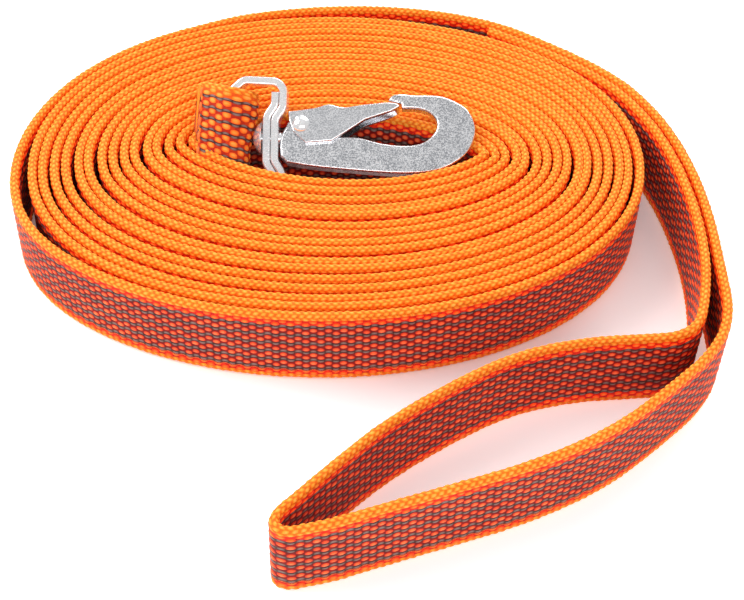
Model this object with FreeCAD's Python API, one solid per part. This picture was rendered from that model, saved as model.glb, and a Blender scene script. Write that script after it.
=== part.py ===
import FreeCAD, Part
import math
import os

# A long training leash of flat woven webbing, wound up for storage. The free end is folded back and
# sewn into a hand loop, and the inner end is sewn round the bow of a swivelling snap hook.
# Millimetres, +Z up, the coil resting on z = 0. X runs along the coil's length.

Vec = FreeCAD.Vector

# Webbing
WEB_WIDTH = 20.0
WEB_THICK = 2.4

# Coil. Every turn is given by its support function: the distance from the origin to the tangent
# line whose outward normal points at an angle. The first pair is the mean, then cos and sin terms.
COIL_REACH = ((62.9, 0.0), (-9.9, 28.0), (9.7, 1.5), (0.2, -0.4), (-0.7, 0.0))
COIL_PITCH = ((2.479, 0.0), (-0.096, -0.100), (-0.026, 0.109), (0.012, -0.024))
COIL_START_DEG = 115.0
COIL_TURNS = 16
HOLLOW_RELIEF = 3.4
COIL_END_DEG = 205.0
SLACK_GAP = 1.5
SLACK_FROM_DEG = 140.0
SLACK_SPAN_DEG = 150.0
OUTLINE_STEP_DEG = 10.0
SLOPE_STEP_DEG = 0.01

# Centre lines of the free webbing, seen from above, from the coil to the fold of the hand loop
# and from the fold back to the sewn end
LEAD_ROUTE = (
    (-38.0, 77.2), (-27.0, 80.6), (-14.0, 83.1), (0.0, 83.9), (15.0, 82.7), (30.0, 78.6), (41.0, 71.6),
    (50.5, 65.0), (59.5, 56.8), (66.2, 46.0), (70.6, 34.5), (73.4, 22.0), (74.8, 9.0),
    (75.1, -4.0), (75.5, -18.0), (71.0, -28.3), (61.0, -38.8), (48.5, -50.2), (33.0, -59.1),
    (15.0, -66.2), (2.0, -71.2), (-4.5, -73.9), (-9.0, -75.3), (-12.45, -76.2),
)
HANDLE_ROUTE = (
    (-12.45, -76.2), (-14.6, -76.75), (-17.0, -75.2), (-16.3, -72.4), (-13.0, -68.9), (-7.0, -62.0),
    (3.0, -51.2), (15.7, -41.0), (29.0, -32.2), (43.0, -27.6), (56.0, -26.0), (63.5, -25.2),
    (68.3, -21.8), (70.5, -14.5), (72.2, -3.0), (72.1, 9.5), (70.6, 21.5), (67.9, 33.7),
    (63.7, 44.8), (57.4, 55.0), (48.8, 62.9), (39.5, 69.3), (27.2, 76.5),
)
ARC_SHARE = 0.45
FLAT_WITHIN = 0.01

# Stitches through both layers of a sewn joint
STITCH_RADIUS = 0.35
STITCH_PROUD = 0.15
STITCH_PER_RUN = 3
STITCH_EDGE = 4.0
STITCH_INSET = 0.2
JOINT_STEP = 2.8
JOINT_RUNS = 3
CLIP_STITCHES = 5
CLIP_STITCH_GAP = 3.6
CLIP_STITCH_U = -38.9
CLIP_STITCH_DEPTH = 5.6

# Snap hook, in its own plane: u along the hook, v across it and n off its face
HOOK_ORIGIN = Vec(0.0, 36.3, 22.1)
HOOK_TILT = 28.0
HOOK_NOSE_UP = 2.4
HOOK_THICK = 3.0
HOOK_ROUNDING = 0.6
HOOK_OUTER = (
    (2.3, 5.0), (3.2, 6.3), (5.0, 6.7), (8.0, 6.5), (12.0, 6.5), (15.0, 6.2), (18.0, 5.0),
    (20.5, 3.3), (22.0, 0.8), (22.6, -1.8), (22.2, -4.5), (20.8, -7.5), (18.5, -9.8),
    (15.5, -11.6), (11.0, -12.7), (5.0, -13.0), (-5.0, -12.5), (-15.0, -11.7), (-20.8, -10.8),
)
HOOK_TAIL = ((-22.3, -9.3), (-22.6, -7.2), (-22.6, -5.0), (-22.0, -3.2), (-21.0, -0.9))
HOOK_THROAT = (
    (-18.4, 0.3), (-15.2, 0.2), (-12.6, -1.6), (-11.4, -3.4), (-8.0, -4.2), (-4.0, -4.4),
    (0.0, -5.4), (3.0, -5.9), (6.0, -6.1), (9.0, -5.8), (11.0, -5.0), (12.8, -3.3),
    (13.7, -1.2), (13.5, 0.3), (12.6, 1.6), (11.0, 2.6), (8.5, 3.1), (5.5, 3.1),
)
HOOK_NOTCH = (5.2, 4.3)

GATE_SHEET = 1.0
GATE_GAP = 0.12
GATE_FOLD = (
    (-20.9, 1.3), (-17.0, 1.9), (-13.5, 2.7), (-12.0, 3.2), (-10.5, 3.1), (-9.0, 2.7),
    (-5.0, 3.1), (0.0, 3.8), (3.0, 4.0), (4.5, 3.7),
)
GATE_LOWER = (
    (4.9, 3.1), (3.2, 2.0), (-3.0, -0.3), (-6.4, -2.8), (-10.5, -5.7), (-16.6, -6.3), (-19.6, -3.6),
    (-20.6, -1.0),
)
GATE_SLOT_BACK = -26.0
GATE_SLOT_NOSE = 9.0
GATE_SLOT_BOTTOM = -12.0
GATE_ROUNDING = 0.35
GATE_PIVOT = (-17.8, -1.7)
GATE_RIVET_RADIUS = 1.25
GATE_HEAD_RADIUS = 1.95
GATE_HEAD_HEIGHT = 0.9
GATE_HEAD_PLAY = 0.05
RUNNING_CLEARANCE = 0.05
SPRING_AT_U = -10.0
SPRING_RADIUS = 0.95
SPRING_WIRE = 0.3
SPRING_COILS = 7
SPRING_FOOT = -3.3
SPRING_TOP = 1.4

# Bow and swivel. The bow is a bent strip whose two ends lap over each other at its base.
SWIVEL_V = -4.5
SWIVEL_N = -1.5
BOW_TILT = 45.0
BOW_STRIP = 1.8
BOW_WIDTH = 5.5
BOW_BASE_U = -21.3
BOW_ROUTE = (
    (-21.95, -11.5), (-22.0, -8.0), (-23.75, -5.3), (-23.8, 4.3), (-22.0, 7.0), (-21.95, 12.9),
    (-31.2, 13.2), (-34.8, 9.9), (-34.9, -9.8), (-31.2, -13.1), (-23.9, -13.0), (-23.9, -8.6),
    (-25.65, -5.9), (-25.7, 4.9), (-23.9, 7.6), (-23.85, 10.6),
)
BOW_BEND = 2.6
BOW_HOLE_DEPTH = 9.0
BOW_HOLE_FROM_U = -29.9
BOW_ROUNDING = 0.4
DISH_U = -22.9
DOME_U = -26.8
SWIVEL_RADIUS = 1.4
SWIVEL_DOME_RADIUS = 4.0
SWIVEL_DOME_HEIGHT = 2.3
SWIVEL_ROOT = 2.6

# Sewn eye of webbing round the bow's bar, as a section of u and n about the bar
BAR_U = -34.85
EYE_SHIFT = 0.0
EYE_RADIUS = 4.3
EYE_SIDES = 8
EYE_FLAP = ((-6.65, 1.9), (-4.35, 2.3))
EYE_LEAD = ((-4.15, -1.6), (-5.65, -0.5))
RIM_RELIEF_RADIUS = 5.8


def series(terms, angle):
    """Sum of the cos and sin terms of a support function at an angle."""
    return sum(c * math.cos(k * angle) + s * math.sin(k * angle) for k, (c, s) in enumerate(terms))


def turned(degrees):
    """How many turns the webbing has made since it joined the coil."""
    return (degrees - COIL_START_DEG) / 360.0


def slack(degrees):
    """The outermost turn stands off a little along part of its way."""
    along = (degrees - SLACK_FROM_DEG) / SLACK_SPAN_DEG
    if along <= 0.0 or along >= 1.0:
        return 0.0
    return SLACK_GAP * math.sin(math.pi * along) ** 2


def coil_reach(degrees):
    """Support distance of the webbing's centre line after turning to this angle."""
    angle = math.radians(degrees)
    return series(COIL_REACH, angle) - turned(degrees) * series(COIL_PITCH, angle) + slack(degrees)


def coil_point(degrees, outward=0.0):
    """A point on the coil's centre line, or on a line beside it, from the support function."""
    angle = math.radians(degrees)
    before, after = degrees - SLOPE_STEP_DEG, degrees + SLOPE_STEP_DEG
    slope = (coil_reach(after) - coil_reach(before)) / math.radians(after - before)
    reach = coil_reach(degrees) + outward
    return Vec(
        reach * math.cos(angle) - slope * math.sin(angle),
        reach * math.sin(angle) + slope * math.cos(angle),
        0.0,
    )


def smooth_edge(points):
    """One smooth edge through the points."""
    curve = Part.BSplineCurve()
    curve.interpolate(points)
    return curve.toShape()


def coil_boundary(first, outward):
    """One turn's side face as an edge, from this angle on."""
    count = int(360.0 / OUTLINE_STEP_DEG)
    return smooth_edge([coil_point(first + i * 360.0 / count, outward) for i in range(count + 1)])


def closed_face(edges):
    """A flat face inside edges that already meet end to end."""
    return Part.Face(Part.Wire(Part.__sortEdges__(edges)))


def with_closing_line(edge):
    """The edge and the straight line that closes it."""
    first, last = edge.Vertexes[0].Point, edge.Vertexes[-1].Point
    return [edge, Part.makeLine(last, first)]


def make_coil():
    """The wound webbing as one ring, open in its middle, with a step where each end leaves."""
    half = WEB_THICK / 2
    outside = closed_face(with_closing_line(coil_boundary(COIL_START_DEG, half)))
    last_turn = COIL_END_DEG + 360.0 * (COIL_TURNS - 1)
    hollow = closed_face(with_closing_line(coil_boundary(last_turn, HOLLOW_RELIEF - half)))
    up = Vec(0, 0, WEB_WIDTH)
    ring = outside.extrude(up).cut(hollow.extrude(up))
    relief = Part.makeCylinder(
        RIM_RELIEF_RADIUS, 2 * WEB_WIDTH, Vec(BAR_U, SWIVEL_V - WEB_WIDTH, SWIVEL_N), Vec(0, 1, 0)
    )
    return ring.cut(in_bow_plane(relief))


def corners(route, widest=math.inf):
    """For each bend of a route: where its arc starts and ends, its centre and its radius."""
    bends = []
    for before, here, after in zip(route, route[1:], route[2:]):
        back, ahead = before - here, after - here
        reach = ARC_SHARE * min(back.Length, ahead.Length)
        back.normalize()
        ahead.normalize()
        half_turn = (math.pi - back.getAngle(ahead)) / 2
        radius = min(reach / math.tan(half_turn), widest)
        reach = radius * math.tan(half_turn)
        inward = back + ahead
        inward.normalize()
        centre = here + inward * (radius / math.cos(half_turn))
        bends.append((here + back * reach, here + ahead * reach, centre, radius))
    return bends


def side_edges(route, offset, widest=math.inf):
    """A route's straight runs and arcs, moved sideways by an offset to the left."""
    up = Vec(0, 0, 1)
    edges = []
    start = route[0] + up.cross((route[1] - route[0]).normalize()) * offset
    for (entry, leave, centre, radius), here in zip(corners(route, widest), route[1:]):
        turn_left = up.cross(leave - entry).dot(centre - here) > 0
        reach = radius - offset if turn_left else radius + offset
        first = centre + (entry - centre).normalize() * reach
        last = centre + (leave - centre).normalize() * reach
        middle = centre + (here - centre).normalize() * reach
        edges.append(Part.makeLine(start, first))
        edges.append(Part.Arc(first, middle, last).toShape())
        start = last
    end = route[-1] + up.cross((route[-1] - route[-2]).normalize()) * offset
    edges.append(Part.makeLine(start, end))
    return edges


def route_length(route):
    """Length of a route along its runs and arcs."""
    return sum(edge.Length for edge in side_edges(route, 0.0))


def smallest_radius(route):
    """The tightest bend of a route."""
    return min(radius for _, _, _, radius in corners(route))


def strip_solid(route, thickness, width, widest=math.inf):
    """A bent strip: its section along a route, given its width upwards."""
    left = side_edges(route, thickness / 2, widest)
    right = side_edges(route, -thickness / 2, widest)
    ends = [
        Part.makeLine(left[0].Vertexes[0].Point, right[0].Vertexes[0].Point),
        Part.makeLine(left[-1].Vertexes[-1].Point, right[-1].Vertexes[-1].Point),
    ]
    return closed_face(left + right + ends).extrude(Vec(0, 0, width))


def make_strap(route, name):
    """A strap standing on its edge along a route, with its length and volume printed."""
    solid = strip_solid(route, WEB_THICK, WEB_WIDTH)
    length = route_length(route)
    section = WEB_WIDTH * WEB_THICK
    print(name, "length", round(length, 1), "volume", round(solid.Volume), "of", round(length * section))
    print(name, "smallest radius", round(smallest_radius(route), 1))
    return solid


def plane_points(pairs):
    """Points of a flat outline."""
    return [Vec(x, y, 0.0) for x, y in pairs]


def place_in_plane(shape, roll):
    """Move a shape from the hook's own plane to where it lies, rolled about the swivel's axis."""
    axis_point = Vec(0.0, SWIVEL_V, SWIVEL_N)
    swivel = HOOK_ORIGIN + FreeCAD.Rotation(Vec(1, 0, 0), HOOK_TILT).multVec(axis_point)
    placed = shape.copy()
    placed.translate(axis_point * -1)
    placed.rotate(Vec(0, 0, 0), Vec(1, 0, 0), roll)
    placed.rotate(Vec(BOW_BASE_U, 0, 0), Vec(0, 1, 0), -HOOK_NOSE_UP)
    placed.rotate(Vec(0, 0, 0), Vec(1, 0, 0), HOOK_TILT)
    placed.translate(swivel)
    return placed


def in_hook_plane(shape):
    """Place a shape drawn in the hook's plane."""
    return place_in_plane(shape, 0.0)


def in_bow_plane(shape):
    """Place a shape drawn in the bow's plane."""
    return place_in_plane(shape, BOW_TILT - HOOK_TILT)


def joined_outline(*parts):
    """A face whose outline runs through each list of points smoothly and straight between them."""
    edges = []
    lists = [plane_points(part) for part in parts]
    for part, following in zip(lists, lists[1:] + lists[:1]):
        if len(part) > 1:
            edges.append(smooth_edge(part))
        edges.append(Part.makeLine(part[-1], following[0]))
    return closed_face(edges)


def swivel_shank(last_u):
    """The swivel rivet's shank, from under its dome to a place along the hook."""
    return Part.makeCylinder(
        SWIVEL_RADIUS, last_u - DOME_U, Vec(DOME_U, SWIVEL_V, SWIVEL_N), Vec(1, 0, 0)
    )


def flat_edges(shape):
    """The edges round the two flat sides of a plate or strip that lies flat."""
    return [edge for edge in shape.Edges if edge.BoundBox.ZLength < FLAT_WITHIN]


def make_hook_body():
    """The stamped hook plate, slotted for the swivel's shank and drilled for the gate's rivet."""
    face = joined_outline(HOOK_OUTER, HOOK_TAIL, HOOK_THROAT, (HOOK_NOTCH,))
    plate = face.extrude(Vec(0, 0, -HOOK_THICK))
    plate = plate.makeFillet(HOOK_ROUNDING, flat_edges(plate))
    hole = Part.makeCylinder(
        GATE_RIVET_RADIUS + RUNNING_CLEARANCE, 3 * HOOK_THICK, Vec(*GATE_PIVOT, -2 * HOOK_THICK)
    )
    return in_hook_plane(plate.cut([hole, swivel_shank(DISH_U + SWIVEL_ROOT)]))


def make_gate():
    """The gate: one sheet folded over the plate, a leaf on each face and the fold along the top."""
    lift = GATE_SHEET + GATE_GAP
    depth = HOOK_THICK + 2 * lift
    outline = joined_outline(GATE_FOLD, *[(corner,) for corner in GATE_LOWER])
    outline.translate(Vec(0, 0, lift))
    block = outline.extrude(Vec(0, 0, -depth))
    block = block.makeFillet(GATE_ROUNDING, flat_edges(block))
    under = [(u, v - GATE_SHEET) for u, v in GATE_FOLD]
    slot_points = [(GATE_SLOT_BACK, under[0][1])] + under + [(GATE_SLOT_NOSE, under[-1][1])]
    slot_points += [(GATE_SLOT_NOSE, GATE_SLOT_BOTTOM), (GATE_SLOT_BACK, GATE_SLOT_BOTTOM)]
    slot_edges = plane_points(slot_points)
    slot = Part.Face(Part.makePolygon(slot_edges + slot_edges[:1]))
    slot.translate(Vec(0, 0, GATE_GAP))
    folded = block.cut(slot.extrude(Vec(0, 0, -(HOOK_THICK + 2 * GATE_GAP))))
    hole = Part.makeCylinder(
        GATE_RIVET_RADIUS + RUNNING_CLEARANCE, 3 * depth, Vec(*GATE_PIVOT, -2 * depth)
    )
    return in_hook_plane(folded.cut(hole))


def dome(radius, height):
    """A shallow domed rivet head on the plane n = 0."""
    ball = (radius * radius + height * height) / (2 * height)
    sphere = Part.makeSphere(ball, Vec(0, 0, height - ball))
    return sphere.common(Part.makeCylinder(radius, height))


def make_gate_rivet():
    """The gate's rivet, with a domed head outside each leaf."""
    top = GATE_SHEET + GATE_GAP + GATE_HEAD_PLAY
    bottom = -HOOK_THICK - top
    shank = Part.makeCylinder(GATE_RIVET_RADIUS, top - bottom, Vec(0, 0, bottom))
    upper = dome(GATE_HEAD_RADIUS, GATE_HEAD_HEIGHT)
    lower = upper.mirror(Vec(0, 0, 0), Vec(0, 0, 1))
    upper.translate(Vec(0, 0, top))
    lower.translate(Vec(0, 0, bottom))
    rivet = shank.fuse([upper, lower]).removeSplitter()
    rivet.translate(Vec(*GATE_PIVOT, 0))
    return in_hook_plane(rivet)


def make_gate_spring():
    """The small spring under the gate's fold that keeps the gate shut, as a stack of closed coils."""
    gap = (SPRING_TOP - SPRING_FOOT) / SPRING_COILS
    coils = [
        Part.makeTorus(SPRING_RADIUS, SPRING_WIRE, Vec(0, 0, SPRING_FOOT + (i + 0.5) * gap))
        for i in range(SPRING_COILS)
    ]
    spring = Part.makeCompound(coils)
    spring.rotate(Vec(0, 0, 0), Vec(1, 0, 0), -90)
    spring.translate(Vec(SPRING_AT_U, 0, -HOOK_THICK / 2))
    return in_hook_plane(spring)


def make_bow():
    """The bow: a strip bent into a rectangle, lapped along its base and dished for the swivel."""
    bow = strip_solid(plane_points(BOW_ROUTE), BOW_STRIP, BOW_WIDTH, BOW_BEND)
    bow = bow.makeFillet(BOW_ROUNDING, flat_edges(bow))
    bow.translate(Vec(0, SWIVEL_V, SWIVEL_N - BOW_WIDTH / 2))
    hole = Part.makeCylinder(
        SWIVEL_RADIUS + RUNNING_CLEARANCE,
        BOW_HOLE_DEPTH,
        Vec(BOW_HOLE_FROM_U, SWIVEL_V, SWIVEL_N),
        Vec(1, 0, 0),
    )
    return in_bow_plane(bow.cut(hole))


def make_swivel_rivet():
    """The swivel rivet: its dome inside the bow, its shank through the base into the hook's tail."""
    head = dome(SWIVEL_DOME_RADIUS, SWIVEL_DOME_HEIGHT)
    head.rotate(Vec(0, 0, 0), Vec(0, 1, 0), -90)
    head.translate(Vec(DOME_U, SWIVEL_V, SWIVEL_N))
    return in_hook_plane(head.fuse(swivel_shank(DISH_U + SWIVEL_ROOT)).removeSplitter())


def eye_route():
    """The eye's section: the flap, round the bar as an even polygon, and the lead under it."""
    corner = EYE_RADIUS / math.cos(math.pi / EYE_SIDES)
    around = []
    for i in range(EYE_SIDES - 2):
        angle = math.pi * (EYE_SIDES - 3 - 2 * i) / EYE_SIDES
        around.append((corner * math.cos(angle), corner * math.sin(angle)))
    return plane_points(EYE_FLAP + tuple(around) + EYE_LEAD)


def make_eye():
    """The eye of webbing round the bow's bar."""
    eye = strip_solid(eye_route(), WEB_THICK, WEB_WIDTH)
    eye.rotate(Vec(0, 0, 0), Vec(1, 0, 0), 90)
    eye.translate(Vec(BAR_U, SWIVEL_V + EYE_SHIFT + WEB_WIDTH / 2, SWIVEL_N))
    return in_bow_plane(eye)


def make_loop_stitching(handle):
    """Thread through both layers where the hand loop is sewn shut, two rows of stitches."""
    stitches = []
    length = JOINT_STEP + WEB_THICK + 2 * STITCH_PROUD
    sewn = handle[-1 - JOINT_RUNS:]
    for first, last in zip(sewn, sewn[1:]):
        outward = (last - first).normalize().cross(Vec(0, 0, 1))
        for i in range(STITCH_PER_RUN):
            share = STITCH_INSET + i * (1 - 2 * STITCH_INSET) / (STITCH_PER_RUN - 1)
            middle = first + (last - first) * share
            inner = middle - outward * (WEB_THICK / 2 + STITCH_PROUD)
            for height in (STITCH_EDGE, WEB_WIDTH - STITCH_EDGE):
                foot = inner + Vec(0, 0, height)
                stitches.append(Part.makeCylinder(STITCH_RADIUS, length, foot, outward))
    return Part.makeCompound(stitches)


def make_clip_stitching():
    """Thread through both layers of the eye, in one row across the webbing."""
    stitches = []
    top = EYE_FLAP[0][1] + WEB_THICK / 2 + 2 * STITCH_PROUD
    for i in range(CLIP_STITCHES):
        across = SWIVEL_V + EYE_SHIFT + (i - (CLIP_STITCHES - 1) / 2) * CLIP_STITCH_GAP
        foot = Vec(CLIP_STITCH_U, across, SWIVEL_N + top - CLIP_STITCH_DEPTH)
        stitches.append(Part.makeCylinder(STITCH_RADIUS, CLIP_STITCH_DEPTH, foot))
    return in_bow_plane(Part.makeCompound(stitches))


def main():
    """Write every piece to its own file."""
    start = coil_point(COIL_START_DEG)
    lead = [start] + plane_points(LEAD_ROUTE)
    handle = plane_points(HANDLE_ROUTE)
    pieces = {
        "webbing_coil": make_coil(),
        "lead_run": make_strap(lead, "lead_run"),
        "hand_loop": make_strap(handle, "hand_loop"),
        "hook_body": make_hook_body(),
        "gate": make_gate(),
        "gate_rivet": make_gate_rivet(),
        "gate_spring": make_gate_spring(),
        "bow": make_bow(),
        "swivel_rivet": make_swivel_rivet(),
        "clip_eye": make_eye(),
        "loop_stitching": make_loop_stitching(handle),
        "clip_stitching": make_clip_stitching(),
    }
    os.makedirs("parts", exist_ok=True)
    for name, shape in pieces.items():
        box = shape.BoundBox
        print(name, shape.isValid(), len(shape.Solids), round(shape.Volume),
              [round(v, 1) for v in (box.XMin, box.YMin, box.ZMin, box.XMax, box.YMax, box.ZMax)])
        shape.exportStep("parts/" + name + ".step")


main()
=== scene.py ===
import math

import bpy
import numpy as np
from mathutils import Matrix, Vector


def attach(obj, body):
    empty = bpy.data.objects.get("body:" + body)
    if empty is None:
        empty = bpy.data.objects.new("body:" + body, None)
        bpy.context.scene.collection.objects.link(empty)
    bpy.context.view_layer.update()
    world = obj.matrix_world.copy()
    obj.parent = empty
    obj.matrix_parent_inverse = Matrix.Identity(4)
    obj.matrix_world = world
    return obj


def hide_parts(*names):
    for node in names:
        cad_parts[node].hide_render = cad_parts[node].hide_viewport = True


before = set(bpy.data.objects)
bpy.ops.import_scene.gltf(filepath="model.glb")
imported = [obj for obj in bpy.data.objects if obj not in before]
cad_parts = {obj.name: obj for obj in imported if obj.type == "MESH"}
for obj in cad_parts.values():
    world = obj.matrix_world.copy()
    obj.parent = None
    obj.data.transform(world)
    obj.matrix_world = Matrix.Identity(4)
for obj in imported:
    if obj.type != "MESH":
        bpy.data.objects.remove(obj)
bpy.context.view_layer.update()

MM = 0.001

# ---------------------------------------------------------------- camera
CAMERA_LENS = 73.26
CAMERA_TILT = math.radians(47.0)
CAMERA_ROLL = math.radians(2.0)
CAMERA_DISTANCE = 0.344


def make_camera():
    """The camera looks down at the row frame's origin from the front, rolled a little."""
    forward = Vector((0.0, math.cos(CAMERA_TILT), -math.sin(CAMERA_TILT)))
    right = Vector((1.0, 0.0, 0.0))
    up = right.cross(forward)
    across = math.cos(CAMERA_ROLL) * right + math.sin(CAMERA_ROLL) * up
    upward = -math.sin(CAMERA_ROLL) * right + math.cos(CAMERA_ROLL) * up
    data = bpy.data.cameras.new("camera")
    data.lens = CAMERA_LENS
    data.sensor_width = 36.0
    data.clip_start = 0.01
    camera = bpy.data.objects.new("camera", data)
    turn = Matrix((across, upward, -forward)).transposed().to_4x4()
    camera.matrix_world = Matrix.Translation(-forward * CAMERA_DISTANCE) @ turn
    bpy.context.scene.collection.objects.link(camera)
    bpy.context.scene.camera = camera


make_camera()

# ---------------------------------------------------------------- webbing: facts in millimetres
WEB_WIDTH = 20.0
WEB_HALF_THICK = 0.87
WEB_HALF_WIDTH = 9.88

# Threads run along the webbing in columns, numbered round its section from one face's first row. Each
# face has a grey column, then two orange ones, and so on. The edges between the faces are all orange.
FACE_HALF = 6.9
FACE_COLUMNS = 16
FACE_GREYS = 6
EDGE_COLUMNS = 9
HALF_ROUND = FACE_COLUMNS + EDGE_COLUMNS
GREY_WIDE = 0.92
GREY_NARROW = 0.64

# An orange column's threads float on top once a period. The grey columns and the short-stitched edge
# columns have two longer floats in a period, and a grey column's two lie a little to either side of it.
PERIOD = 3.17
RINGS_PER_PERIOD = 8
POINTS_PER_COLUMN = 3
COARSE_POINTS = 3
SHORT_FROM = 18
SHORT_TO = 23
EDGE_SLANT = 0.22
TWIN_SHIFT = 0.16
LONGER_GREY = 0.8
LONGER_EDGE = 0.6
WAVE = 0.24
WAVE_EDGE = 0.3 * WAVE
RELIEF_ORANGE = 0.24
RELIEF_GREY = 0.17
RELIEF_EDGE = 0.20
RELIEF_LEAST = 0.12
RELIEF_COARSE = 0.6
EDGE_LEAST = 0.65
EDGE_SPREAD = 0.6
CAP_COLUMN = 20.5
WHOLE_WITHIN = 1e-6

# The coil's centre line, by its support function: the distance from the origin to the tangent line
# whose outward normal points at an angle. The first pair is the mean, then cos and sin terms.
COIL_REACH = ((62.9, 0.0), (-9.9, 28.0), (9.7, 1.5), (0.2, -0.4), (-0.7, 0.0))
COIL_PITCH = ((2.479, 0.0), (-0.096, -0.100), (-0.026, 0.109), (0.012, -0.024))
COIL_START_DEG = 115.0
COIL_TURNS = 16
COIL_END_DEG = 205.0
SLACK_GAP = 1.5
SLACK_FROM_DEG = 140.0
SLACK_SPAN_DEG = 150.0
SLACK_CLOSES_DEG = 246.0
SLOPE_STEP_DEG = 0.01
LINE_STEP_DEG = 0.25

# How the visible turns differ from even ones: pairs of turns, a slow drift, turns pressed out where
# the outermost turn closes on the coil, inner turns nearer the hook at the front, and a lean of the
# innermost turns' lower edge. A lean starts at a share of a turn, and NO_LEAN is past the turn's end.
PAIR_SHIFT = 0.27
PAIR_PHASE = 1.35
DRIFT_SHIFT = 0.11
UNEVEN_FROM_DEG = 300.0
UNEVEN_SPAN_DEG = 200.0
PRESSED_OUT = 1.1
PRESSED_FADES = 0.8
PRESSED_SPAN_DEG = 26.0
FRONT_SHIFT = 2.4
LEAN = 5.0
LEAN_FROM = {COIL_TURNS - 1: 0.5, COIL_TURNS: 0.0}
NO_LEAN = 2.0
RISE = 0.12
RISE_LOOSE = 0.05

# Centre lines of the free webbing, seen from above, from the coil to the fold of the hand loop and from
# the fold back to the sewn end
LEAD_ROUTE = (
    (-46.51, 72.65), (-38.0, 77.2), (-27.0, 80.6), (-14.0, 83.1), (0.0, 83.9), (15.0, 82.7), (30.0, 78.6),
    (41.0, 71.6), (50.5, 65.0), (59.5, 56.8), (66.2, 46.0), (70.6, 34.5), (73.4, 22.0), (74.8, 9.0),
    (75.1, -4.0), (75.5, -18.0), (71.0, -28.3), (61.0, -38.8), (48.5, -50.2), (33.0, -59.1),
    (15.0, -66.2), (2.0, -71.2), (-4.5, -73.9), (-9.0, -75.3), (-12.45, -76.2),
)
HANDLE_ROUTE = (
    (-12.45, -76.2), (-14.6, -76.75), (-17.0, -75.2), (-16.3, -72.4), (-13.0, -68.9), (-7.0, -62.0),
    (3.0, -51.2), (15.7, -41.0), (29.0, -32.2), (43.0, -27.6), (56.0, -26.0), (63.5, -25.2),
    (68.3, -21.8), (70.5, -14.5), (72.2, -3.0), (72.1, 9.5), (70.6, 21.5), (67.9, 33.7),
    (63.7, 44.8), (57.4, 55.0), (48.8, 62.9), (39.5, 69.3), (27.2, 76.5),
)


# ---------------------------------------------------------------- webbing: shape
def column_edges(grey_wide):
    """Where each column of threads starts, in millimetres round the webbing from the first grey row."""
    round_edge = 2 * (WEB_HALF_WIDTH - WEB_HALF_THICK - FACE_HALF) + math.pi * WEB_HALF_THICK
    orange_wide = (2 * FACE_HALF - FACE_GREYS * grey_wide) / (FACE_COLUMNS - FACE_GREYS)
    widths = []
    for _ in range(2):
        widths += [grey_wide if k % 3 == 0 else orange_wide for k in range(FACE_COLUMNS)]
        widths += [round_edge / EDGE_COLUMNS] * EDGE_COLUMNS
    return np.concatenate([[0.0], np.cumsum(widths)])


def section_at(column, grey_wide):
    """Place and outward direction on the webbing's section, as offsets through and across it."""
    table = column_edges(grey_wide)
    run = np.interp(column, np.arange(len(table)), table)
    flat = WEB_HALF_WIDTH - WEB_HALF_THICK
    half = table[HALF_ROUND]
    other = run >= half
    run = np.where(other, run - half, run)
    first = flat + FACE_HALF
    arc = math.pi * WEB_HALF_THICK
    angle = np.clip((run - first) / WEB_HALF_THICK, 0.0, math.pi)
    across = np.where(run < first, run - FACE_HALF, flat + WEB_HALF_THICK * np.sin(angle))
    across = np.where(run > first + arc, flat - (run - first - arc), across)
    through = WEB_HALF_THICK * np.cos(angle)
    out_through, out_across = np.cos(angle), np.sin(angle)
    side = np.where(other, -1.0, 1.0)
    return through * side, across * side, out_through * side, out_across * side


def column_facts(whole):
    """For a thread column's number: whether it is grey, whether it is on the short-stitched edge."""
    place = whole % HALF_ROUND
    grey = (place < FACE_COLUMNS) & (place % 3 == 0)
    short = (place >= SHORT_FROM) & (place < SHORT_TO)
    return grey, short


def ring_columns(outer, inner, top, bottom):
    """Column positions of one ring of vertices. Each part is modelled finely or coarsely."""
    places = []
    parts = (
        (0, FACE_COLUMNS - 2, outer), (FACE_COLUMNS - 2, HALF_ROUND + 2, top),
        (HALF_ROUND + 2, HALF_ROUND + FACE_COLUMNS, inner),
        (HALF_ROUND + FACE_COLUMNS, 2 * HALF_ROUND, bottom),
    )
    for first, last, fine in parts:
        if fine:
            places += [first + i / POINTS_PER_COLUMN for i in range(POINTS_PER_COLUMN * (last - first))]
        else:
            places += [first + (last - first) * i / COARSE_POINTS for i in range(COARSE_POINTS)]
    return np.array(places), parts


def column_phase(whole):
    """Where in its period a column's float lies: the two orange columns between grey rows alternate."""
    place = whole % HALF_ROUND
    return np.where(place < FACE_COLUMNS, 0.5 * (place % 3 == 2), 0.5 * (place % 2))


def scatter(number, whole):
    """An even scatter of shares from 0 to 1, the same for the same float of the same column."""
    value = np.sin(number * 12.9898 + whole * 78.233) * 43758.5453
    return value - np.floor(value)


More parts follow.
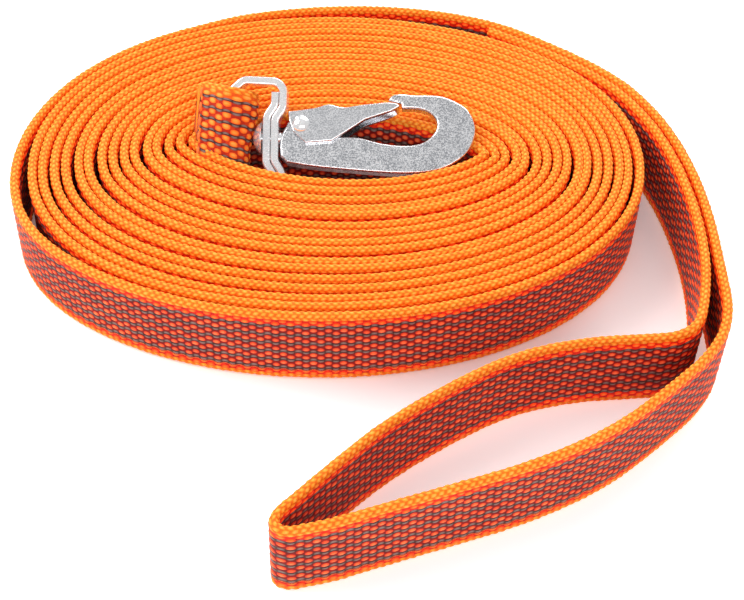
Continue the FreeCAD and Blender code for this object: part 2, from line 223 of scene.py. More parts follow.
def thread_relief(along, columns, parts):
    """How far each vertex stands proud of the webbing's base shape, in millimetres."""
    whole = np.floor(columns + WHOLE_WITHIN)
    inside = columns - whole - 0.5
    grey, short = column_facts(whole.astype(int))
    size = np.where(grey, RELIEF_GREY, np.where(short, RELIEF_EDGE, RELIEF_ORANGE))
    fine = np.zeros(len(columns), bool)
    for first, last, is_fine in parts:
        fine |= (columns >= first - WHOLE_WITHIN) & (columns < last - WHOLE_WITHIN) & is_fine
    turns = along[:, None] / PERIOD * np.where(short | grey, 2.0, 1.0) + column_phase(whole)
    beside = np.where(grey, TWIN_SHIFT * (2 * (np.round(turns) % 2) - 1), 0.0)
    narrow = np.where(grey, 1 - 2 * TWIN_SHIFT, 1.0)
    swell = np.sqrt(np.maximum(0.0, 1.0 - (2.0 * (inside - beside) / narrow) ** 2))
    turns = turns + np.where(short, EDGE_SLANT * inside * (1 - 2 * (whole % HALF_ROUND % 2)), 0.0)
    longer = np.where(grey, LONGER_GREY, np.where(short, LONGER_EDGE, 0.0))
    lying = np.maximum(0.0, np.cos(2 * math.pi * turns) + longer) / (1.0 + longer)
    varied = np.where(short, EDGE_LEAST + EDGE_SPREAD * scatter(np.round(turns), whole), 1.0)
    proud = size * swell * (RELIEF_LEAST + (1 - RELIEF_LEAST) * np.sqrt(lying)) * varied
    return np.where(fine, proud, RELIEF_COARSE * size)


def waved_columns(along, columns):
    """Orange columns bulge sideways where their threads lie on top, and grey ones zigzag between them."""
    _, short = column_facts(np.floor(columns).astype(int))
    amount = np.where(short, WAVE_EDGE, WAVE)
    lines = np.arange(2 * HALF_ROUND + 1)
    place = lines % HALF_ROUND
    swing = np.where(place <= FACE_COLUMNS, 1 - 2 * (place % 3 == 2), 1 - 2 * (place % 2))
    swing = amount * np.interp(columns, lines, swing)
    return columns - swing * np.cos(2 * math.pi * along[:, None] / PERIOD)


def webbing_mesh(name, centre, through, across, along, fine, grey_wide=GREY_WIDE, reshape=None):
    """A closed mesh of webbing along a line of ring centres, with thread columns modelled on it."""
    columns, parts = ring_columns(*fine)
    rings, count = len(along), len(columns)
    waved = waved_columns(along, columns) % (2 * HALF_ROUND)
    t, a, out_t, out_a = section_at(waved, grey_wide)
    proud = thread_relief(along, columns, parts)
    t, a = t + out_t * proud, a + out_a * proud
    points = centre[:, None, :] + t[:, :, None] * through[:, None, :] + a[:, :, None] * across[:, None, :]
    points = np.concatenate([points.reshape(-1, 3), centre[:1], centre[-1:]])
    points = (points if reshape is None else reshape(points)) * MM
    ring = np.arange(rings - 1)[:, None] * count
    here = np.arange(count)[None, :]
    after = (here + 1) % count
    quads = np.stack([ring + here, ring + after, ring + count + after, ring + count + here], -1)
    quads = quads.reshape(-1, 4)
    last = (rings - 1) * count
    start_cap = np.stack([after[0], here[0], np.full(count, rings * count)], -1)
    end_cap = np.stack([last + here[0], last + after[0], np.full(count, rings * count + 1)], -1)
    triangles = np.concatenate([start_cap, end_cap])
    mesh = bpy.data.meshes.new(name)
    loops = np.concatenate([quads.ravel(), triangles.ravel()]).astype(np.int32)
    starts = np.concatenate([
        np.arange(len(quads)) * 4, len(quads) * 4 + np.arange(len(triangles)) * 3,
    ]).astype(np.int32)
    mesh.vertices.add(len(points))
    mesh.vertices.foreach_set("co", points.astype(np.float32).ravel())
    mesh.loops.add(len(loops))
    mesh.loops.foreach_set("vertex_index", loops)
    mesh.polygons.add(len(starts))
    mesh.polygons.foreach_set("loop_start", starts)
    mesh.update(calc_edges=True)
    mesh.polygons.foreach_set("use_smooth", np.ones(len(starts), bool))
    web = mesh.attributes.new("web", "FLOAT_VECTOR", "POINT")
    values = np.zeros((len(points), 3), np.float32)
    values[:-2, 0] = np.repeat(along, count)
    values[:-2, 1] = np.tile(columns, rings)
    values[-2:, 0] = along[0], along[-1]
    values[-2:, 1] = CAP_COLUMN
    web.data.foreach_set("vector", values.ravel())
    mesh.validate()
    obj = bpy.data.objects.new(name, mesh)
    bpy.context.scene.collection.objects.link(obj)
    return obj


def even_rings(points, start_at):
    """Ring centres at even steps along a line of points, with their directions."""
    gaps = np.linalg.norm(np.diff(points, axis=0), axis=1)
    run = np.concatenate([[0.0], np.cumsum(gaps)])
    step = PERIOD / RINGS_PER_PERIOD
    count = max(2, int(round(run[-1] / step)) + 1)
    at = np.linspace(0.0, run[-1], count)
    centre = np.stack([np.interp(at, run, points[:, i]) for i in range(3)], -1)
    ahead = np.gradient(centre, axis=0)
    ahead /= np.linalg.norm(ahead, axis=1)[:, None]
    return centre, ahead, start_at + at


def route_line(route, name):
    """Points along the smooth NURBS line of a route."""
    data = bpy.data.curves.new(name, "CURVE")
    data.dimensions = "3D"
    data.resolution_u = 48
    spline = data.splines.new("NURBS")
    spline.points.add(len(route) - 1)
    for point, (x, y) in zip(spline.points, route):
        point.co = (x * MM, y * MM, 0.0, 1.0)
    spline.order_u = 3
    spline.use_endpoint_u = True
    holder = bpy.data.objects.new(name, data)
    bpy.context.scene.collection.objects.link(holder)
    mesh = bpy.data.meshes.new_from_object(holder)
    points = np.array([v.co for v in mesh.vertices]) / MM
    bpy.data.objects.remove(holder)
    bpy.data.meshes.remove(mesh)
    return points


# ---------------------------------------------------------------- webbing: the coil's line
def series(terms, angle):
    """Sum of the cos and sin terms of a support function at an angle."""
    return sum(c * np.cos(k * angle) + s * np.sin(k * angle) for k, (c, s) in enumerate(terms))


def unevenness(degrees):
    """Neighbouring turns lie tight together in some places and stand apart in others."""
    angle = np.radians(degrees)
    turn = (degrees - COIL_START_DEG) / 360.0
    pair = np.cos(math.pi * turn - PAIR_PHASE + 0.35 * np.sin(0.41 * angle + 1.0))
    pair = PAIR_SHIFT * pair * (0.7 + 0.3 * np.sin(0.19 * angle))
    drift = DRIFT_SHIFT * (np.sin(0.313 * angle + 0.7) + 0.6 * np.sin(0.871 * angle + 2.1))
    inside = np.clip((degrees - UNEVEN_FROM_DEG) / UNEVEN_SPAN_DEG, 0.0, 1.0)
    whole = np.maximum(0.0, np.round((degrees - SLACK_CLOSES_DEG) / 360.0))
    beside = degrees - SLACK_CLOSES_DEG - 360.0 * whole
    pressed = PRESSED_OUT * PRESSED_FADES ** (whole - 1.0) * np.exp(-(beside / PRESSED_SPAN_DEG) ** 2)
    pressed = np.where(whole > 0, pressed, 0.0)
    front = FRONT_SHIFT * turn / COIL_TURNS * np.maximum(0.0, -np.sin(angle)) ** 1.5
    return inside * (pair + drift) + pressed - front


def coil_reach(degrees):
    """Support distance of the webbing's centre line after turning to this angle."""
    angle = np.radians(degrees)
    turn = (degrees - COIL_START_DEG) / 360.0
    along = np.clip((degrees - SLACK_FROM_DEG) / SLACK_SPAN_DEG, 0.0, 1.0)
    slack = SLACK_GAP * np.sin(math.pi * along) ** 2
    return series(COIL_REACH, angle) - turn * series(COIL_PITCH, angle) + slack + unevenness(degrees)


def coil_points(degrees):
    """Points of the coil's centre line, from the support function and its slope."""
    angle = np.radians(degrees)
    ahead, behind = coil_reach(degrees + SLOPE_STEP_DEG), coil_reach(degrees - SLOPE_STEP_DEG)
    slope = (ahead - behind) / math.radians(2 * SLOPE_STEP_DEG)
    reach = coil_reach(degrees)
    x = reach * np.cos(angle) - slope * np.sin(angle)
    y = reach * np.sin(angle) + slope * np.cos(angle)
    return np.stack([x, y, np.zeros_like(x)], -1)


def standing(centre, ahead, along, rise, lean_from):
    """Webbing standing on its edge: its outward side, its upward side and its middle line.

    From a share of its length on, its lower edge leans into the coil's hollow along the back."""
    outward = np.stack([ahead[:, 1], -ahead[:, 0], np.zeros(len(ahead))], -1)
    upward = np.zeros_like(outward)
    upward[:, 2] = 1.0
    waves = np.sin(along * 0.021) + 0.7 * np.sin(along * 0.047 + 1.3) + 0.4 * np.sin(along * 0.111)
    rise = rise * waves
    middle = centre.copy()
    middle[:, 2] = WEB_WIDTH / 2
    upward[:, 2] += rise / WEB_HALF_WIDTH / 2
    middle[:, 2] += rise / 2
    leaning = np.linspace(0.0, 1.0, len(along)) >= lean_from
    lean = (LEAN * np.maximum(0.0, outward[:, 1]) ** 1.5 * leaning)[:, None]
    return middle - outward * lean / 2, outward, upward + outward * lean / WEB_WIDTH


ALL_FINE = (True, True, True, True)
web_pieces = []


def add_strap(name, points, start_at, nodes, fine=ALL_FINE, rise=RISE, lean_from=NO_LEAN):
    """A strap standing on its edge along a line. It returns how far along the webbing it ends."""
    centre, ahead, along = even_rings(points, start_at)
    middle, outward, upward = standing(centre, ahead, along, rise, lean_from)
    obj = webbing_mesh(name, middle, outward, upward, along, fine)
    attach(obj, "webbing")
    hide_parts(*nodes)
    web_pieces.append(obj)
    return along[-1]


lead_line = route_line(LEAD_ROUTE, "lead_line")[::-1]
handle_line = route_line(HANDLE_ROUTE, "handle_line")[::-1]
reached = add_strap("hand_loop_webbing", handle_line, 0.0, ["hand_loop"], rise=RISE_LOOSE)
reached = add_strap("lead_webbing", lead_line, reached, ["lead_run"], rise=RISE_LOOSE)
last_deg = COIL_END_DEG + 360.0 * COIL_TURNS
for number in range(COIL_TURNS + 1):
    first_deg = COIL_START_DEG + 360.0 * number
    until = min(first_deg + 360.0, last_deg)
    turn_line = coil_points(np.arange(first_deg, until + LINE_STEP_DEG / 2, LINE_STEP_DEG))
    sides = (number == 0, number >= COIL_TURNS - 1, True, number == 0)
    lean_from = LEAN_FROM.get(number, NO_LEAN)
    name = f"webbing_turn_{number + 1:02d}"
    reached = add_strap(name, turn_line, reached, ["webbing_coil"], sides, lean_from=lean_from)

# ---------------------------------------------------------------- the clip's webbing eye
# In the bow's own axes, u runs along the hook to its nose, v across it and n up from its plane.
HOOK_ORIGIN = Vector((0.0, 36.3, 22.1))
HOOK_TILT = 28.0
HOOK_NOSE_UP = 2.4
SWIVEL_V = -4.5
SWIVEL_N = -1.5
BOW_TILT = 45.0
BOW_BASE_U = -21.3
BAR_U = -34.85

# The eye's line is a flat flap, a bend round the bow's bar and a tail back under it. The loose flap is
# turned and shifted towards the coil's back rim, and the bend reaches further out on that side.
EYE_RADIUS = 4.3
EYE_TOP = 3.9
EYE_SHIFT = 0.4
EYE_STEPS = 40
EYE_STEP_DEG = 5.3
EYE_TAIL = ((-3.2, -2.5), (-4.2, -1.1), (-5.2, 0.3), (-6.2, 1.1), (-7.3, 1.35))
EYE_SMOOTHINGS = 8
FLAP_END_U = -6.0
FLAP_N = 3.95
FLAP_RISE = 0.35
FLAP_POINTS = 18
FLAP_STEP = 0.32
FLAP_TURN = 17.0
FLAP_TURN_SPAN = 6.5
FLAP_SHIFT = 3.0
FLAP_SHIFT_FROM_U = 5.5
FLAP_SHIFT_SPAN = 13.0
BEND_PUSH = 1.9
BEND_SPAN_U = 5.5
BEND_FROM_V = -3.0
BEND_SPAN_V = 8.0


def bow_place():
    """From the bow's own plane to the row frame."""
    def turn(degrees, axis):
        return Matrix.Rotation(math.radians(degrees), 4, axis)
    swivel = HOOK_ORIGIN + turn(HOOK_TILT, "X") @ Vector((0.0, SWIVEL_V, SWIVEL_N))
    base = Matrix.Translation((BOW_BASE_U, 0.0, 0.0))
    pitched = base @ turn(-HOOK_NOSE_UP, "Y") @ base.inverted()
    rolled = turn(BOW_TILT - HOOK_TILT, "X")
    back = Matrix.Translation((0.0, -SWIVEL_V, -SWIVEL_N))
    return Matrix.Translation(swivel) @ turn(HOOK_TILT, "X") @ pitched @ rolled @ back


def eye_line():
    """The eye's middle line about the bar, as u and n: a flat flap, round the bar and back under it."""
    line = []
    for i in range(FLAP_POINTS):
        line.append((FLAP_END_U + FLAP_STEP * i, FLAP_N + FLAP_RISE * i / FLAP_POINTS))
    for i in range(EYE_STEPS):
        angle = math.radians(90.0 - i * EYE_STEP_DEG)
        line.append((EYE_RADIUS * math.cos(angle), EYE_RADIUS * math.sin(angle)))
    line += EYE_TAIL
    return np.array(line)


def eye_place(points):
    """From the eye's own axes to the row frame. The flap lies over towards the coil's back rim."""
    u, v, n = points.T
    loose = np.clip(-u / FLAP_TURN_SPAN, 0.0, 1.0)
    wide = np.clip(u / BEND_SPAN_U, 0.0, 1.0) * np.clip((v - BEND_FROM_V) / BEND_SPAN_V, 0.0, 1.0)
    turn = -np.radians(FLAP_TURN) * loose
    shift = EYE_SHIFT + FLAP_SHIFT * np.clip((FLAP_SHIFT_FROM_U - u) / FLAP_SHIFT_SPAN, 0.0, 1.0)
    placed = np.stack([
        u + BEND_PUSH * wide + BAR_U,
        v * np.cos(turn) - (n - EYE_TOP) * np.sin(turn) + shift + SWIVEL_V,
        v * np.sin(turn) + (n - EYE_TOP) * np.cos(turn) + EYE_TOP + SWIVEL_N,
    ], -1)
    place = np.array(bow_place())
    return placed @ place[:3, :3].T + place[:3, 3]


def make_eye(start_at):
    """The eye: a strap along the eye's line, its ends left loose, brought to its place on the bow."""
    line = eye_line()
    flat = np.stack([line[:, 0], np.zeros(len(line)), line[:, 1]], -1)
    for _ in range(EYE_SMOOTHINGS):
        flat[1:-1] = 0.25 * flat[:-2] + 0.5 * flat[1:-1] + 0.25 * flat[2:]
    centre, ahead, along = even_rings(flat, start_at)
    out = np.stack([-ahead[:, 2], np.zeros(len(ahead)), ahead[:, 0]], -1)
    side = np.zeros_like(out)
    side[:, 1] = 1.0
    obj = webbing_mesh("clip_webbing", centre, out, side, along, ALL_FINE, GREY_NARROW, eye_place)
    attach(obj, "webbing")
    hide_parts("clip_eye")
    web_pieces.append(obj)


make_eye(reached)


# ---------------------------------------------------------------- stitching
# The hand loop's joint starts where the handle's cut end lies beside the lead, at JOINT_AT, and runs
# from there towards the hand loop.
THREAD_RADIUS = 0.33
STITCH_POINTS = 8
STITCH_ARCH = 0.42
STITCH_SUNK = 0.28
STITCH_LENGTH = 2.3
STITCH_STEP = 3.4
STITCH_PROUD = 1.15
STITCH_HEIGHTS = (4.0, 16.0)
JOINT_AT = (29.5, 78.7, 0.0)
JOINT_LENGTH = 34.0
JOINT_INSET = 3.0
HANDLE_JOINT_END = 36.0
WITHIN_COIL = (10.0, 20.0, 0.0)
CLIP_STITCHES = 5
CLIP_STITCH_STEP = 3.6
CLIP_STITCH_HALF = 1.1
CLIP_STITCH_U = -6.0


def stitch_mesh(name, ends, node):
    """Short thread stitches lying on the webbing, each from one point to another, arched a little."""
    data = bpy.data.curves.new(name, "CURVE")
    data.dimensions = "3D"
    data.bevel_depth = THREAD_RADIUS * MM
    data.bevel_resolution = 3
    data.use_fill_caps = True
    for first, last, out in ends:
        spline = data.splines.new("POLY")
        spline.points.add(STITCH_POINTS)
        for i, point in enumerate(spline.points):
            share = i / STITCH_POINTS
            height = STITCH_ARCH * math.sin(math.pi * share) - STITCH_SUNK
            place = first + (last - first) * share + out * height
            point.co = (*(Vector(place) * MM), 1.0)
            point.radius = 0.75 + 0.35 * math.sin(math.pi * share)
    holder = bpy.data.objects.new(name + "_line", data)
    bpy.context.scene.collection.objects.link(holder)
    mesh = bpy.data.meshes.new_from_object(holder)
    bpy.data.objects.remove(holder)
    obj = bpy.data.objects.new(name, mesh)
    bpy.context.scene.collection.objects.link(obj)
    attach(obj, "webbing")
    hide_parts(node)
    return obj


def loop_stitches():
    """Two rows of stitches on both sides of the sewn joint."""
    ends = []
    for line, side in ((handle_line, 1.0), (lead_line, -1.0)):
        gaps = np.linalg.norm(np.diff(line, axis=0), axis=1)
        run = np.concatenate([[0.0], np.cumsum(gaps)])
        if side > 0:
            start, stop = JOINT_INSET, HANDLE_JOINT_END
        else:
            near = int(np.argmin(np.linalg.norm(line - np.array(JOINT_AT), axis=1)))
            start, stop = run[near] - JOINT_LENGTH, run[near]
        at = start
        while at < stop:
            first = np.array([np.interp(at, run, line[:, i]) for i in range(3)])
            last = np.array([np.interp(at + STITCH_LENGTH, run, line[:, i]) for i in range(3)])
            ahead = (last - first) / np.linalg.norm(last - first)
            out = np.array([ahead[1], -ahead[0], 0.0])
            if np.dot(out, first - np.array(WITHIN_COIL)) * side > 0:
                out = -out
            for height in STITCH_HEIGHTS:
                lifted = out * STITCH_PROUD + np.array([0.0, 0.0, height])
                ends.append((first + lifted, last + lifted, out))
            at += STITCH_STEP
    return ends


def clip_stitches():
    """One row of stitches across the eye's flap, near its cut end."""
    ends = []
    top = EYE_TOP + WEB_HALF_THICK
    for i in range(CLIP_STITCHES):
        v = (i - CLIP_STITCHES // 2) * CLIP_STITCH_STEP
        sideways = (-CLIP_STITCH_HALF, CLIP_STITCH_HALF, 0.0, 0.0)
        row = np.array([(CLIP_STITCH_U, v + d, top) for d in sideways])
        row[3, 2] += 1.0
        first, last, foot, tip = eye_place(row)
        ends.append((first, last, tip - foot))
    return ends


thread_pieces = [
    stitch_mesh("loop_stitches", loop_stitches(), "loop_stitching"),
    stitch_mesh("clip_stitches", clip_stitches(), "clip_stitching"),
]


# ---------------------------------------------------------------- materials
# Colour ramps of the webbing and thread, from the painted shade between threads to the top of a float.
# The first two stops are a ramp's ends and the rest lie between them.
FACE_STOPS = (
    (0.0, (0.17, 0.002, 0.001)), (1.0, (0.98, 0.19, 0.056)),
    (0.3, (0.34, 0.008, 0.002)), (0.55, (0.70, 0.038, 0.009)), (0.8, (0.90, 0.095, 0.027)),
)
# Painted light: the margin columns beside the faces get a lighter, redder copy of the orange, standing
# for red light in the shaded gaps between turns.
GLOWING_MARGIN_STOPS = (
    (0.0, (0.50, 0.005, 0.0005)), (1.0, (1.0, 0.20, 0.025)),
    (0.3, (0.85, 0.020, 0.001)), (0.55, (1.0, 0.050, 0.003)), (0.8, (1.0, 0.11, 0.010)),
)
# Painted light: the flap's ramps are lighter copies of the face and margin orange, standing for the eye's
# flap lying face up in the light from above.
LIT_FLAP_STOPS = (
    (0.0, (0.42, 0.012, 0.0005)), (1.0, (1.0, 0.36, 0.055)),
    (0.3, (0.80, 0.060, 0.001)), (0.55, (0.97, 0.15, 0.007)), (0.8, (1.0, 0.24, 0.022)),
)
LIT_FLAP_MARGIN_STOPS = (
    (0.0, (0.75, 0.070, 0.001)), (1.0, (1.0, 0.37, 0.055)),
    (0.3, (0.92, 0.120, 0.003)), (0.55, (0.97, 0.20, 0.008)), (0.8, (1.0, 0.28, 0.020)),
)
# Painted light: the short-stitched edge columns get a lighter, yellower copy of the face orange, standing
# for the strap's top edges lit from above.
LIT_EDGE_STOPS = (
    (0.0, (0.78, 0.110, 0.0015)), (1.0, (0.99, 0.42, 0.065)),
    (0.3, (0.92, 0.190, 0.004)), (0.55, (0.96, 0.260, 0.011)), (0.8, (0.98, 0.33, 0.025)),
)
RUBBER_STOPS = (
    (0.0, (0.060, 0.018, 0.014)), (1.0, (0.27, 0.172, 0.154)),
    (0.35, (0.15, 0.085, 0.074)), (0.7, (0.21, 0.130, 0.115)),
)
THREAD_STOPS = (
    (0.0, (0.45, 0.03, 0.002)), (1.0, (1.0, 0.30, 0.05)), (0.5, (0.92, 0.15, 0.015)),
)
OLIVE = (0.40, 0.13, 0.004, 1.0)
# Painted glow: the margin columns emit a little of their own colour, lifting the shade in the gaps
# between turns.
MARGIN_PAINTED_GLOW = 0.15


class Nodes:
    """A short way to write a material's nodes."""

    def __init__(self, name):
        self.material = bpy.data.materials.new(name)
        self.material.use_nodes = True
        self.tree = self.material.node_tree
        self.shader = self.tree.nodes["Principled BSDF"]

    def set(self, socket, value):
        """Link a socket to another node's output, or give it a fixed value."""
        if hasattr(value, "links"):
            self.tree.links.new(value, socket)
        else:
            socket.default_value = value

    def add(self, kind, out=0, inputs=None, **settings):
        """Add a node with its inputs and settings, and return one of its outputs."""
        node = self.tree.nodes.new(kind)
        for key, value in settings.items():
            setattr(node, key, value)
        for key, value in (inputs or {}).items():
            self.set(node.inputs[key], value)
        return node.outputs[out]

    def math(self, operation, *values, clamp=False):
        node = self.tree.nodes.new("ShaderNodeMath")
        node.operation = operation
        node.use_clamp = clamp
        for socket, value in zip(node.inputs, values):
            self.set(socket, value)
        return node.outputs[0]

    def ramp(self, value, stops):
        """A colour ramp. Its first two stops are its ends."""
        node = self.tree.nodes.new("ShaderNodeValToRGB")
        for i, (at, colour) in enumerate(stops):
            element = node.color_ramp.elements[i] if i < 2 else node.color_ramp.elements.new(at)
            element.position = at
            element.color = (*colour, 1.0)
        self.set(node.inputs[0], value)
        return node.outputs[0]

    def mix(self, share, first, second):
        """A mix of two colours. Inputs 6 and 7 and output 2 are the mix node's colours."""
        node = self.tree.nodes.new("ShaderNodeMix")
        node.data_type = "RGBA"
        self.set(node.inputs[0], share)
        self.set(node.inputs[6], first)
        self.set(node.inputs[7], second)
        return node.outputs[2]

    def noise(self, vector, scale, detail=2.0, roughness=0.5):
        return self.add("ShaderNodeTexNoise", inputs={
            "Vector": vector, "Scale": scale, "Detail": detail, "Roughness": roughness,
        })

    def object_place(self):
        """Each point's place in the object's own axes."""
        return self.add("ShaderNodeTexCoord", out=3)

    def vector(self, x, y, z):
        return self.add("ShaderNodeCombineXYZ", inputs={"X": x, "Y": y, "Z": z})

    def bump(self, height, strength, distance):
        return self.add("ShaderNodeBump", inputs={
            "Strength": strength, "Distance": distance, "Height": height,
        })


def webbing_material(name, face_stops, margin_stops, glow):
    """Woven polyester: floats of orange thread, grey rubbery rows on both faces, short-stitched edges.
    Its colours carry painted shade between threads and the painted light of the edge, margin and flap
    ramps.
    """
    n = Nodes(name)
    web = n.add("ShaderNodeAttribute", out=1, attribute_name="web", attribute_type="GEOMETRY")
    split = n.tree.nodes.new("ShaderNodeSeparateXYZ")
    n.set(split.inputs[0], web)
    along, column = split.outputs[0], split.outputs[1]

    # which column a point lies in, and whether that is grey or short-stitched
    whole = n.math("FLOOR", column)
    inside = n.math("SUBTRACT", n.math("SUBTRACT", column, whole), 0.5)
    place = n.math("MODULO", whole, float(HALF_ROUND))
    on_face = n.math("LESS_THAN", place, FACE_COLUMNS - 0.5)
    third = n.math("LESS_THAN", n.math("MODULO", n.math("ADD", place, 0.25), 3.0), 1.0)
    grey = n.math("MULTIPLY", on_face, third)
    short = n.math("MULTIPLY", n.math("GREATER_THAN", place, SHORT_FROM - 0.5),
                   n.math("LESS_THAN", place, SHORT_TO - 0.5))

    # how high the thread stands there, as in thread_relief
    rate = n.math("DIVIDE", n.math("ADD", n.math("ADD", short, grey), 1.0), PERIOD)
    parity = n.math("MULTIPLY", n.math("MODULO", place, 2.0), 0.5)
    second = n.math("MULTIPLY", n.math("GREATER_THAN", n.math("MODULO", place, 3.0), 1.5), 0.5)
    phase = n.math("ADD", n.math("MULTIPLY", on_face, second),
                   n.math("MULTIPLY", n.math("SUBTRACT", 1.0, on_face), parity))
    turns = n.math("ADD", n.math("MULTIPLY", along, rate), phase)
    handed = n.math("SUBTRACT", 1.0, n.math("MULTIPLY", parity, 4.0))
    slant = n.math("MULTIPLY", n.math("MULTIPLY", short, inside), n.math("MULTIPLY", handed, EDGE_SLANT))
    turns = n.math("ADD", turns, slant)
    wave = n.math("COSINE", n.math("MULTIPLY", turns, 2 * math.pi))
    longer = n.math("ADD", n.math("MULTIPLY", grey, LONGER_GREY), n.math("MULTIPLY", short, LONGER_EDGE))
    lying = n.math("MAXIMUM", n.math("ADD", wave, longer), 0.0)
    lying = n.math("DIVIDE", lying, n.math("ADD", longer, 1.0))
    floats = n.math("ADD", n.math("MULTIPLY", n.math("SQRT", lying), 0.9), 0.1)
    odd = n.math("MODULO", n.math("ROUND", turns), 2.0)
    side = n.math("SUBTRACT", 1.0, n.math("MULTIPLY", odd, 2.0))
    inside = n.math("ADD", inside, n.math("MULTIPLY", n.math("MULTIPLY", side, grey), TWIN_SHIFT))
    inside = n.math("MULTIPLY", n.math("ABSOLUTE", inside), n.math("ADD", grey, 2.0))
    swell = n.math("SUBTRACT", 1.0, n.math("POWER", inside, 2.0))
    height = n.math("MULTIPLY", n.math("SQRT", n.math("MAXIMUM", swell, 0.0)), floats)

    # a level for the colours: the height, so the low places between threads get painted shade, with
    # fibres, soft patches and a tone of each float's own
    fibre_at = n.vector(n.math("MULTIPLY", along, 0.9), n.math("MULTIPLY", column, 5.0), whole)
    fibre = n.noise(fibre_at, 1.0, 2.0, 0.6)
    fuzz = n.noise(n.vector(along, column, 0.0), 2.3, 3.0, 0.6)
    patch = n.noise(n.vector(n.math("MULTIPLY", along, 0.05), n.math("MULTIPLY", column, 0.1), 0.0), 1.0)
    level = n.math("ADD", height, n.math("MULTIPLY", n.math("SUBTRACT", fibre, 0.5), 0.5))
    each = n.add("ShaderNodeTexWhiteNoise", out=0, noise_dimensions="2D", inputs={
        "Vector": n.vector(n.math("ROUND", turns), whole, 0.0),
    })
    patch = n.math("ADD", n.math("MULTIPLY", patch, 0.5), n.math("MULTIPLY", each, 0.5))
    level = n.math("ADD", level, n.math("MULTIPLY", n.math("SUBTRACT", patch, 0.5), 0.4), clamp=True)

    # the colours of faces, margins, edges and grey rows, with olive specks off the faces
    face = n.ramp(level, face_stops)
    # painted light: the margins' lighter, redder copy of the orange
    margin = n.ramp(level, margin_stops)
    # painted light: the edges' lighter, yellower copy of the orange
    edge = n.ramp(level, LIT_EDGE_STOPS)
    rubber = n.ramp(level, RUBBER_STOPS)
    off_face = n.math("SUBTRACT", 1.0, on_face)
    colour = n.mix(short, n.mix(off_face, face, margin), edge)
    speck = n.ramp(fuzz, ((0.57, (0.0, 0.0, 0.0)), (0.65, (1.0, 1.0, 1.0))))
    specked = n.math("MULTIPLY", n.math("MULTIPLY", speck, off_face), 0.5)
    olive = n.mix(specked, colour, OLIVE)
    colour = n.mix(grey, olive, rubber)
    n.set(n.shader.inputs["Base Color"], colour)
    # Painted glow: the margin columns glow in their ramp's colour, lifting the shade in the gaps between
    # turns.
    n.set(n.shader.inputs["Emission Color"], margin)
    on_margin = n.math("SUBTRACT", off_face, short)
    n.set(n.shader.inputs["Emission Strength"], n.math("MULTIPLY", on_margin, glow))
    n.set(n.shader.inputs["Roughness"], n.math("SUBTRACT", 0.78, n.math("MULTIPLY", fibre, 0.2)))
    n.shader.inputs["Specular IOR Level"].default_value = 0.25
    relief = n.math("ADD", n.math("MULTIPLY", fibre, 0.6), n.math("MULTIPLY", fuzz, 0.4))
    n.set(n.shader.inputs["Normal"], n.bump(relief, 0.6, 0.12 * MM))
    return n.material


def thread_material():
    """Twisted polyester sewing thread."""
    n = Nodes("thread")
    where = n.object_place()
    twist = n.add("ShaderNodeTexWave", out=1, wave_type="BANDS", bands_direction="DIAGONAL", inputs={
        "Vector": where, "Scale": 1600.0, "Distortion": 1.5, "Detail": 1.0,
    })
    grain = n.noise(where, 2500.0)
    level = n.math("MULTIPLY", n.math("ADD", twist, grain), 0.5)
    colour = n.ramp(level, THREAD_STOPS)
    n.set(n.shader.inputs["Base Color"], colour)
    n.shader.inputs["Roughness"].default_value = 0.7
    n.set(n.shader.inputs["Normal"], n.bump(level, 0.5, 0.08 * MM))
    return n.material


def metal_material(name, light, dark, rough, mottle, metallic):
    """Zinc-plated steel: a mottled bright coat with fine scratches, pits and dull patches."""
    n = Nodes(name)
    where = n.object_place()
    spots = n.noise(where, 3200.0, 2.0, 0.6)
    cloud = n.noise(where, 420.0, 3.0, 0.55)
    mapping = n.add("ShaderNodeMapping", inputs={
        "Vector": where, "Rotation": (0.3, 0.2, 0.5), "Scale": (260.0, 5200.0, 2600.0),
    })
    scratch = n.noise(mapping, 1.0, 3.0, 0.7)
    other = n.add("ShaderNodeMapping", inputs={
        "Vector": where, "Rotation": (0.1, -0.4, -0.8), "Scale": (200.0, 4300.0, 3000.0),
    })
    scratch = n.math("MULTIPLY", n.math("ADD", scratch, n.noise(other, 1.0, 3.0, 0.7)), 0.5)
    level = n.math("ADD", n.math("MULTIPLY", spots, 0.8), n.math("MULTIPLY", cloud, 0.2))
    between = tuple(0.45 * a + 0.55 * b for a, b in zip(dark, light))
    colour = n.ramp(level, ((0.42, dark), (0.58, light), (0.5, between)))
    n.set(n.shader.inputs["Base Color"], colour)
    n.shader.inputs["Metallic"].default_value = metallic
    dull = n.math("ADD", rough, n.math("MULTIPLY", n.math("SUBTRACT", level, 0.5), mottle))
    dull = n.math("ADD", dull, n.math("MULTIPLY", n.math("SUBTRACT", scratch, 0.5), 0.25), clamp=True)
    n.set(n.shader.inputs["Roughness"], dull)
    relief = n.math("ADD", n.math("MULTIPLY", scratch, 0.6), n.math("MULTIPLY", spots, 0.5))
    n.set(n.shader.inputs["Normal"], n.bump(relief, 0.12, 0.04 * MM))
    return n.material


web_finish = webbing_material("webbing", FACE_STOPS, GLOWING_MARGIN_STOPS, MARGIN_PAINTED_GLOW)
# Painted light: the eye's flap gets a lit copy of the webbing material, lighter because it lies face up.
lit_flap_webbing = webbing_material("webbing_flap_lit", LIT_FLAP_STOPS, LIT_FLAP_MARGIN_STOPS, 0.0)
for piece in web_pieces:
    piece.data.materials.append(lit_flap_webbing if piece.name == "clip_webbing" else web_finish)
thread_finish = thread_material()
for piece in thread_pieces:
    piece.data.materials.append(thread_finish)

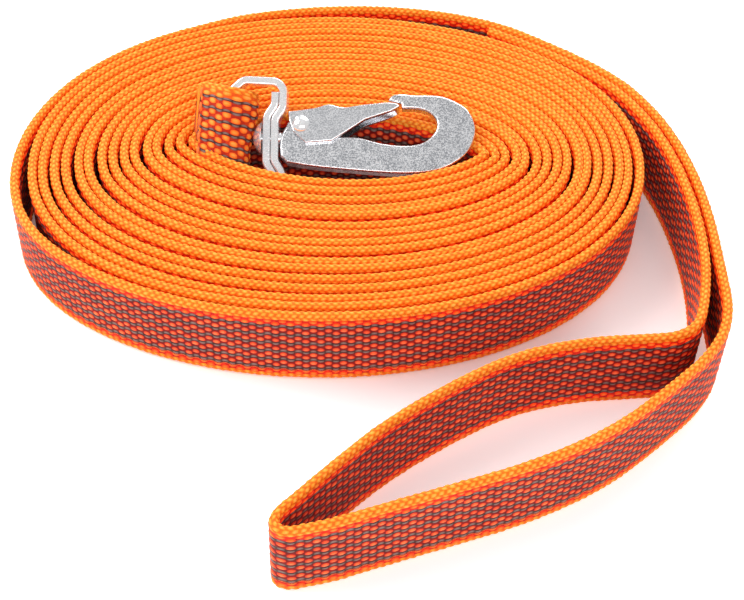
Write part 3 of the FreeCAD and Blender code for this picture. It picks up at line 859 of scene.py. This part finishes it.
plate_finish = metal_material("zinc_plate", (0.95, 0.95, 0.97), (0.44, 0.45, 0.48), 0.25, 0.6, 1.0)
bright_finish = metal_material("bright_zinc", (0.97, 0.97, 0.98), (0.84, 0.85, 0.87), 0.12, 0.15, 0.75)
gate_finish = metal_material("gate_zinc", (0.95, 0.95, 0.97), (0.62, 0.63, 0.66), 0.20, 0.4, 1.0)
spring_finish = metal_material("spring_wire", (0.62, 0.62, 0.64), (0.36, 0.36, 0.38), 0.33, 0.3, 1.0)
finishes = {
    "hook_body": plate_finish, "gate": gate_finish, "gate_rivet": bright_finish,
    "bow": bright_finish, "swivel_rivet": bright_finish, "gate_spring": spring_finish,
}
for node, finish in finishes.items():
    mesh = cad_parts[node].data
    mesh.materials.clear()
    mesh.materials.append(finish)


# ---------------------------------------------------------------- stage and light
# The stage is in metres. Each light has a name, a place, a size and a power in watts.
FLOOR_REACH = 3.0
FLOOR_GLOW = 0.38
UNLIT_CENTRE = (-0.00988, 0.02808)
UNLIT_HALF_SIZE = (0.076, 0.052)
UNLIT_SHARE = 0.8
GLOW_RISE = 2.0
LIGHT_AIM = (0.0, 0.01, 0.01)
LIGHTS = (
    ("soft_left", (-0.75, 0.15, 0.75), (0.7, 0.7), 9.0),
    ("soft_back", (0.35, 0.95, 0.75), (1.0, 0.6), 10.0),
    ("soft_front", (0.15, -0.75, 0.55), (0.9, 0.35), 3.0),
)
ROOM_LIGHT = 0.62


def make_floor():
    """A white floor that glows a little, except in an oval under the coil, where the hollow is dark."""
    mesh = bpy.data.meshes.new("floor")
    corners = [(x * FLOOR_REACH, y * FLOOR_REACH, 0.0) for x, y in ((-1, -1), (1, -1), (1, 1), (-1, 1))]
    mesh.from_pydata(corners, [], [(0, 1, 2, 3)])
    floor = bpy.data.objects.new("floor", mesh)
    bpy.context.scene.collection.objects.link(floor)
    n = Nodes("floor")
    where = n.object_place()
    colour = n.ramp(n.noise(where, 8.0), ((0.0, (0.93, 0.93, 0.93)), (1.0, (0.96, 0.96, 0.96))))
    n.set(n.shader.inputs["Base Color"], colour)
    n.shader.inputs["Roughness"].default_value = 0.8
    n.shader.inputs["Emission Color"].default_value = (1.0, 1.0, 1.0, 1.0)
    (x, y), (half_x, half_y) = UNLIT_CENTRE, UNLIT_HALF_SIZE
    centred = n.add("ShaderNodeMapping", inputs={
        "Vector": where, "Location": (-x / half_x, -y / half_y, 0.0),
        "Scale": (1 / half_x, 1 / half_y, 0.0),
    })
    away = n.tree.nodes.new("ShaderNodeVectorMath")
    away.operation = "LENGTH"
    n.set(away.inputs[0], centred)
    glow = n.math("SUBTRACT", away.outputs[1], UNLIT_SHARE)
    glow = n.math("MULTIPLY", glow, GLOW_RISE, clamp=True)
    n.set(n.shader.inputs["Emission Strength"], n.math("MULTIPLY", glow, FLOOR_GLOW))
    mesh.materials.append(n.material)


def add_light(name, place, size, power):
    """A soft rectangular light, aimed at the middle of the leash."""
    data = bpy.data.lights.new(name, "AREA")
    data.shape = "RECTANGLE"
    data.size, data.size_y = size
    data.energy = power
    light = bpy.data.objects.new(name, data)
    direction = Vector(LIGHT_AIM) - Vector(place)
    turn = direction.to_track_quat("-Z", "Y").to_matrix().to_4x4()
    light.matrix_world = Matrix.Translation(place) @ turn
    bpy.context.scene.collection.objects.link(light)


make_floor()
for light in LIGHTS:
    add_light(*light)
world = bpy.data.worlds.new("room")
bpy.context.scene.world = world
world.use_nodes = True
world.node_tree.nodes["Background"].inputs["Color"].default_value = (1.0, 1.0, 1.0, 1.0)
world.node_tree.nodes["Background"].inputs["Strength"].default_value = ROOM_LIGHT
bpy.context.scene.view_settings.view_transform = "Standard"
